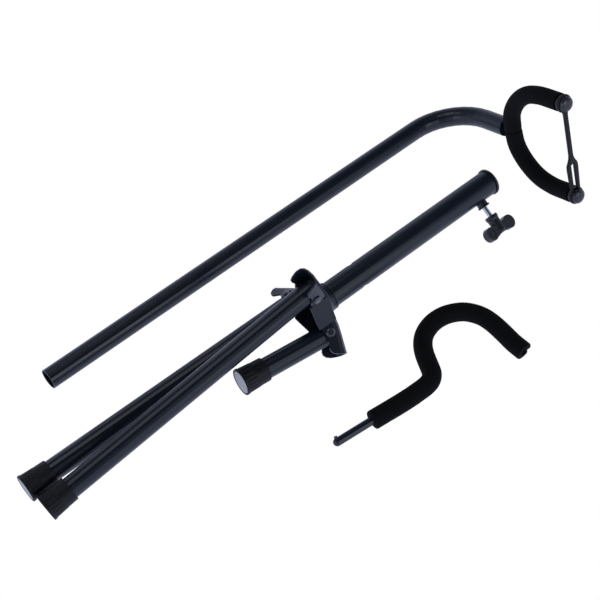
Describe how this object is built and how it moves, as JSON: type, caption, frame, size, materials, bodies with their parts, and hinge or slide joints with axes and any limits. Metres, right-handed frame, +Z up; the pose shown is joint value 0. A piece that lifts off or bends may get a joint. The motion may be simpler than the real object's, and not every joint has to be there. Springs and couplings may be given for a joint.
{
  "type": "didgeridoo stand",
  "caption": "Folding stand for a didgeridoo, taken apart: folded tripod base with clamp column, bent neck with padded yoke and rubber strap, and padded support hook.",
  "frame": {"origin": "bottom centre of the bounding box, on the floor that the three pieces lie on", "axes": "+X along the column and the neck tube, +Y away from the hook towards the neck tube, +Z up"},
  "size_m": [0.6828, 0.3154, 0.1453],
  "materials": {
    "column_tube": "satin dark blue-black powder coat",
    "column_ring": "satin dark blue-black powder coat",
    "clamp_boss": "satin dark blue-black powder coat",
    "leg_bracket": "satin dark blue-black powder coat",
    "leg_near": "satin dark blue-black powder coat",
    "leg_far": "satin dark blue-black powder coat",
    "leg_short": "satin dark blue-black powder coat",
    "neck_tube": "satin dark blue-black powder coat",
    "yoke_rod": "satin dark blue-black powder coat",
    "hook_rod": "satin dark blue-black powder coat",
    "rivet_near": "satin dark blue-black powder coat",
    "rivet_short": "satin dark blue-black powder coat",
    "rivet_far": "satin dark blue-black powder coat",
    "column_collar": "moulded black plastic",
    "wing_knob": "moulded black plastic",
    "yoke_cap_lower": "moulded black plastic",
    "yoke_cap_upper": "moulded black plastic",
    "yoke_foam_lower": "matt black closed-cell foam sleeve",
    "yoke_foam_upper": "matt black closed-cell foam sleeve",
    "hook_foam": "matt black closed-cell foam sleeve",
    "foot_near": "moulded black rubber",
    "foot_far": "moulded black rubber",
    "foot_short": "moulded black rubber",
    "strap": "moulded black rubber",
    "pad_near": "pale grey rubber disc",
    "pad_far": "pale grey rubber disc",
    "pad_short": "pale grey rubber disc",
    "clamp_screw": "bright zinc plate"
  },
  "bodies": {
    "base": {"column_tube": "column_tube", "column_collar": "column_collar", "column_ring": "column_ring", "clamp_boss": "clamp_boss", "leg_bracket": "leg_bracket", "rivet_near": "rivet_near", "rivet_short": "rivet_short", "rivet_far": "rivet_far"},
    "near_leg": {"leg_near": "leg_near", "foot_near": "foot_near", "pad_near": "pad_near"},
    "far_leg": {"leg_far": "leg_far", "foot_far": "foot_far", "pad_far": "pad_far"},
    "short_leg": {"leg_short": "leg_short", "foot_short": "foot_short", "pad_short": "pad_short"},
    "screw": {"clamp_screw": "clamp_screw", "wing_knob": "wing_knob"},
    "neck": {"neck_tube": "neck_tube", "yoke_rod": "yoke_rod", "yoke_foam_lower": "yoke_foam_lower", "yoke_foam_upper": "yoke_foam_upper", "yoke_cap_lower": "yoke_cap_lower", "yoke_cap_upper": "yoke_cap_upper", "strap": "strap"},
    "hook": {"hook_rod": "hook_rod", "hook_foam": "hook_foam"}
  },
  "joints": [
    {"name": "near_leg_fold", "type": "hinge", "parent": "base", "child": "near_leg", "pos_m": [-0.01344, 0.01059, 0.07159], "axis": [0, 1, 0], "range_deg": [0, 80]},
    {"name": "far_leg_fold", "type": "hinge", "parent": "base", "child": "far_leg", "pos_m": [-0.01211, 0.03744, 0.02511], "axis": [0.0248, -0.5, -0.8657], "range_deg": [0, 71]},
    {"name": "short_leg_fold", "type": "hinge", "parent": "base", "child": "short_leg", "pos_m": [-0.01211, -0.01626, 0.02511], "axis": [-0.0248, -0.5, 0.8657], "range_deg": [0, 77.5]},
    {"name": "knob_turn", "type": "hinge", "parent": "base", "child": "screw", "pos_m": [0.22678, -0.01539, 0.03244], "axis": [0.0143, -0.866, -0.4998], "range_deg": [-540, 1440]},
    {"name": "neck_lift", "type": "slide", "parent": "base", "child": "neck", "axis": [0, 0, 1], "range_m": [0, 0.16]},
    {"name": "hook_lift", "type": "slide", "parent": "base", "child": "hook", "axis": [0, 0, 1], "range_m": [0, 0.16]}
  ]
}
